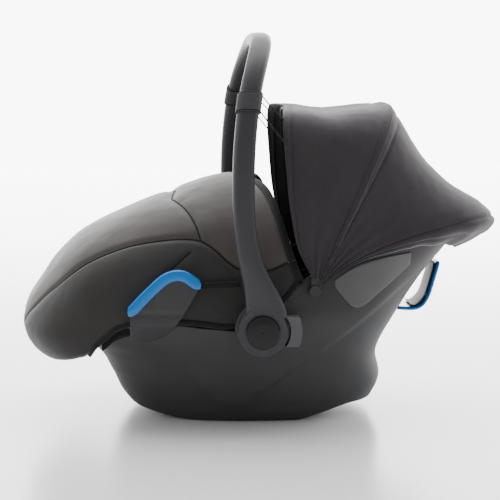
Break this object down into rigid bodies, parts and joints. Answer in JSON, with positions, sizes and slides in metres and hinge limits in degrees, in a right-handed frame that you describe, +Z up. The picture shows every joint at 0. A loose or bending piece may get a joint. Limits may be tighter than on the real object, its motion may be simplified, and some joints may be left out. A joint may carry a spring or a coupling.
{
  "type": "infant car seat",
  "caption": "Rearward-facing infant carrier with a swinging carry handle, folding sun canopy, padded foot cover and rocker base.",
  "frame": {"origin": "centre of the bounding box in plan, on the floor", "axes": "+X towards the head end, +Y to the left-hand side seen from the foot end, +Z up"},
  "size_m": [0.6864, 0.44, 0.55],
  "materials": {
    "shell_plastic": "matte",
    "blue_plastic": "gloss",
    "hook_lining": "matte",
    "label": "satin",
    "handle_plastic": "satin",
    "gloss_black": "gloss",
    "steel": "satin",
    "tab_grey": "satin",
    "elastic": "woven",
    "bow_plastic": "matte",
    "canopy_fabric": "woven",
    "cover_fabric": "woven",
    "binding": "woven",
    "foam": "matte",
    "seat_fabric": "woven",
    "insert_fabric": "woven",
    "webbing": "woven",
    "black_plastic": "satin",
    "red_plastic": "gloss",
    "lever_plastic": "satin"
  },
  "bodies": {
    "shell": {"outer_shell": "shell_plastic", "belt_guide_left": "blue_plastic", "belt_guide_right": "blue_plastic", "rear_belt_hook": "blue_plastic", "rear_hook_lining": "hook_lining", "info_label_left": "label", "info_label_right": "label", "pivot_pin_left": "steel", "pivot_pin_right": "steel", "canopy_pin_left": "black_plastic", "canopy_pin_right": "black_plastic", "footmuff": "cover_fabric", "footmuff_binding": "binding", "foam_liner": "foam", "seat_cover": "seat_fabric", "head_insert": "insert_fabric", "shoulder_strap_left": "webbing", "shoulder_strap_right": "webbing", "shoulder_pad_left": "seat_fabric", "shoulder_pad_right": "seat_fabric", "crotch_pad": "seat_fabric", "crotch_strap": "webbing", "buckle_body": "black_plastic", "buckle_tongue_left": "steel", "buckle_tongue_right": "steel", "adjuster_housing": "black_plastic", "adjuster_strap": "webbing"},
    "handle": {"handle_bar": "handle_plastic", "handle_hub_left": "handle_plastic", "handle_hub_right": "handle_plastic", "hub_cap_left": "gloss_black", "hub_cap_right": "gloss_black", "elastic_loop_left": "elastic", "elastic_loop_right": "elastic"},
    "release_left": {"release_button_left": "tab_grey"},
    "release_right": {"release_button_right": "tab_grey"},
    "canopy_middle": {"canopy_mid_bow": "bow_plastic", "canopy_rear_panel": "canopy_fabric"},
    "canopy_front": {"canopy_front_bow": "bow_plastic", "canopy_front_panel": "canopy_fabric"},
    "buckle_press": {"buckle_button": "red_plastic"},
    "adjuster": {"adjuster_lever": "lever_plastic"}
  },
  "joints": [
    {"name": "handle_swing", "type": "hinge", "parent": "shell", "child": "handle", "pos_m": [-0.004, 0, 0.144], "axis": [0, 1, 0], "range_deg": [0, 100]},
    {"name": "release_left_press", "type": "slide", "parent": "handle", "child": "release_left", "axis": [-1, 0, 0], "range_m": [0, 0.004], "stiffness_N_per_m": 900},
    {"name": "release_right_press", "type": "slide", "parent": "handle", "child": "release_right", "axis": [-1, 0, 0], "range_m": [0, 0.004], "stiffness_N_per_m": 900},
    {"name": "canopy_fold", "type": "hinge", "parent": "shell", "child": "canopy_middle", "pos_m": [0.07, 0, 0.195], "axis": [0, 1, 0], "range_deg": [0, 40], "deforming": ["canopy_rear_panel"]},
    {"name": "canopy_front_fold", "type": "hinge", "parent": "canopy_middle", "child": "canopy_front", "pos_m": [0.07, 0, 0.195], "axis": [0, 1, 0], "range_deg": [0, 23], "deforming": ["canopy_front_panel"]},
    {"name": "buckle_button_press", "type": "slide", "parent": "shell", "child": "buckle_press", "axis": [0, 0, -1], "range_m": [0, 0.004], "stiffness_N_per_m": 900},
    {"name": "adjuster_lever_lift", "type": "hinge", "parent": "shell", "child": "adjuster", "pos_m": [-0.136, 0, 0.1145], "axis": [0, -1, 0], "range_deg": [0, 22], "stiffness_Nm_per_rad": 0.15}
  ],
  "couplings": [
    {"joint": "canopy_front_fold", "follows": "canopy_fold", "ratio": 0.575}
  ]
}
